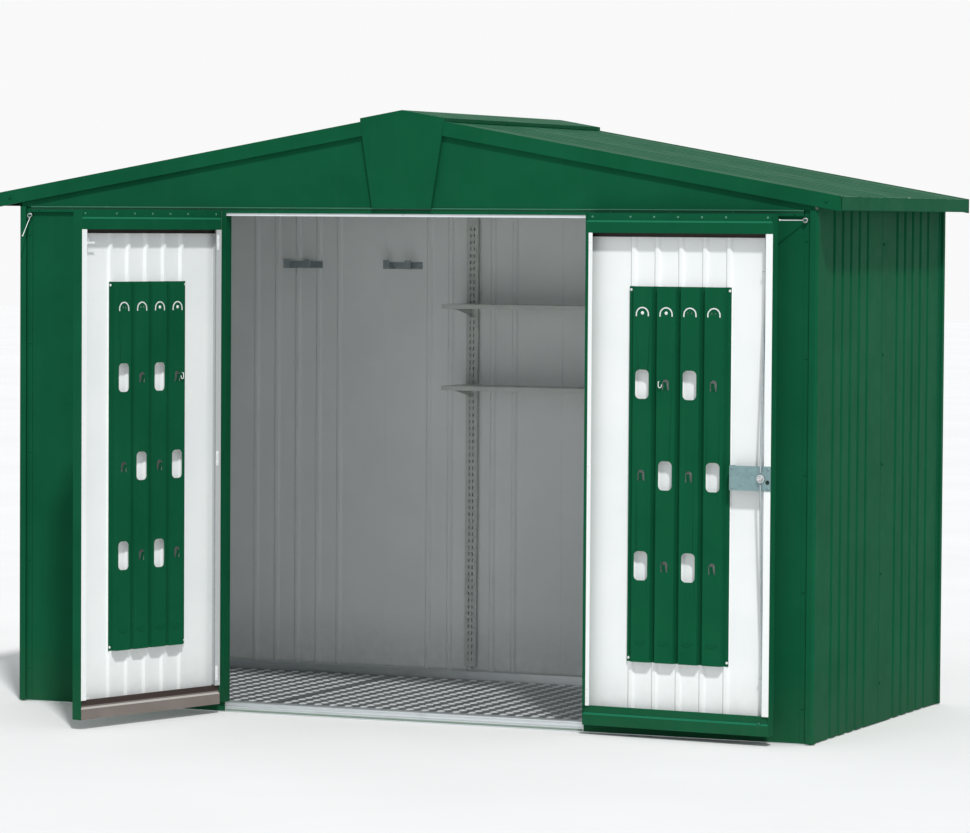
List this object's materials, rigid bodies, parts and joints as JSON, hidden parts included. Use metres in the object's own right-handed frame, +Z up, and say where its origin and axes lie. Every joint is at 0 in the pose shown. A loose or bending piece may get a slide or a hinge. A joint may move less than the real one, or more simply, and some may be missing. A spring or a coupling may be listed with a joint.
{
  "type": "sheet steel storage shed",
  "caption": "Gabled sheet-steel storage shed with ribbed walls, two hinged door leaves with tool boards, a lock with rods, shelves and a tread-plate floor.",
  "frame": {"origin": "middle of the base on the ground", "axes": "+X to the right along the front, +Y towards the back wall, +Z up"},
  "size_m": [3.18, 2.1185, 2.1118],
  "materials": {
    "green_paint": "satin",
    "white_inner_paint": "satin",
    "aluminium_profile": "satin",
    "tread_plate": "bright tread",
    "galvanised_steel": "satin",
    "pale_head": "satin",
    "grey_shelf": "satin",
    "black_plastic": "matt",
    "bright_wire": "bright"
  },
  "bodies": {
    "shell": {"base_frame_front": "aluminium_profile", "base_frame_back": "aluminium_profile", "base_frame_left": "aluminium_profile", "base_frame_right": "aluminium_profile", "floor_plates": "tread_plate", "corner_post_front_left": "green_paint", "corner_post_front_right": "green_paint", "corner_post_back_left": "green_paint", "corner_post_back_right": "green_paint", "door_jamb_left": "green_paint", "door_jamb_right": "green_paint", "front_wall_left": "green_paint", "front_wall_right": "green_paint", "back_wall_panel_1": "green_paint", "back_wall_panel_2": "green_paint", "back_wall_panel_3": "green_paint", "back_wall_panel_4": "green_paint", "left_wall_panel_front": "green_paint", "left_wall_panel_back": "green_paint", "right_wall_panel_front": "green_paint", "right_wall_panel_back": "green_paint", "front_top_rail": "green_paint", "back_top_rail": "green_paint", "side_top_rail_left": "green_paint", "side_top_rail_right": "green_paint", "gable_front_left": "green_paint", "gable_front_right": "green_paint", "gable_back": "green_paint", "roof_panel_left_front": "green_paint", "roof_panel_left_back": "green_paint", "roof_panel_right_front": "green_paint", "roof_panel_right_back": "green_paint", "verge_trims_front": "green_paint", "verge_trims_back": "green_paint", "eave_trim_left": "green_paint", "eave_trim_right": "green_paint", "ridge_cap": "green_paint", "door_head": "pale_head", "shelf_uprights": "grey_shelf", "shelf_upper": "grey_shelf", "shelf_lower": "grey_shelf", "tool_hangers": "galvanised_steel"},
    "left_door": {"left_door_skin": "green_paint", "left_door_stiles": "green_paint", "left_door_rails": "green_paint", "left_tool_board": "green_paint", "left_door_bolts": "galvanised_steel"},
    "right_door": {"right_door_skin": "green_paint", "right_door_stiles": "green_paint", "right_door_rails": "green_paint", "right_tool_board": "green_paint", "lock_plate": "galvanised_steel", "lock_rod_guides": "galvanised_steel"},
    "lock_handle": {"lock_handle": "black_plastic"},
    "lock_rod_upper": {"lock_rod_upper": "galvanised_steel"},
    "lock_rod_lower": {"lock_rod_lower": "galvanised_steel"},
    "left_stay": {"left_stay": "bright_wire"},
    "right_stay": {"right_stay": "bright_wire"}
  },
  "joints": [
    {"name": "left_door_hinge", "type": "hinge", "parent": "shell", "child": "left_door", "pos_m": [-0.697, -0.73, 0.9], "axis": [0, 0, 1], "range_deg": [-69.5, 106]},
    {"name": "right_door_hinge", "type": "hinge", "parent": "shell", "child": "right_door", "pos_m": [0.697, -0.73, 0.9], "axis": [0, 0, 1], "range_deg": [-175.5, 0]},
    {"name": "lock_turn", "type": "hinge", "parent": "right_door", "child": "lock_handle", "pos_m": [1.35642, -0.76334, 0.888], "axis": [-0.0785, -0.9969, 0], "range_deg": [0, 90]},
    {"name": "lock_rod_upper_slide", "type": "slide", "parent": "right_door", "child": "lock_rod_upper", "axis": [0, 0, 1], "range_m": [0, 0.012]},
    {"name": "lock_rod_lower_slide", "type": "slide", "parent": "right_door", "child": "lock_rod_lower", "axis": [0, 0, -1], "range_m": [0, 0.012]},
    {"name": "left_stay_swing", "type": "hinge", "parent": "shell", "child": "left_stay", "pos_m": [-1.464, -0.7025, 1.742], "axis": [0, 1, 0], "range_deg": [-90, 0]},
    {"name": "right_stay_swing", "type": "hinge", "parent": "shell", "child": "right_stay", "pos_m": [1.464, -0.7025, 1.742], "axis": [0, 1, 0], "range_deg": [-90, 0]}
  ],
  "couplings": [
    {"joint": "lock_turn", "follows": "lock_rod_upper_slide", "rad_per_m": 130.8},
    {"joint": "lock_rod_lower_slide", "follows": "lock_rod_upper_slide", "ratio": 1}
  ]
}
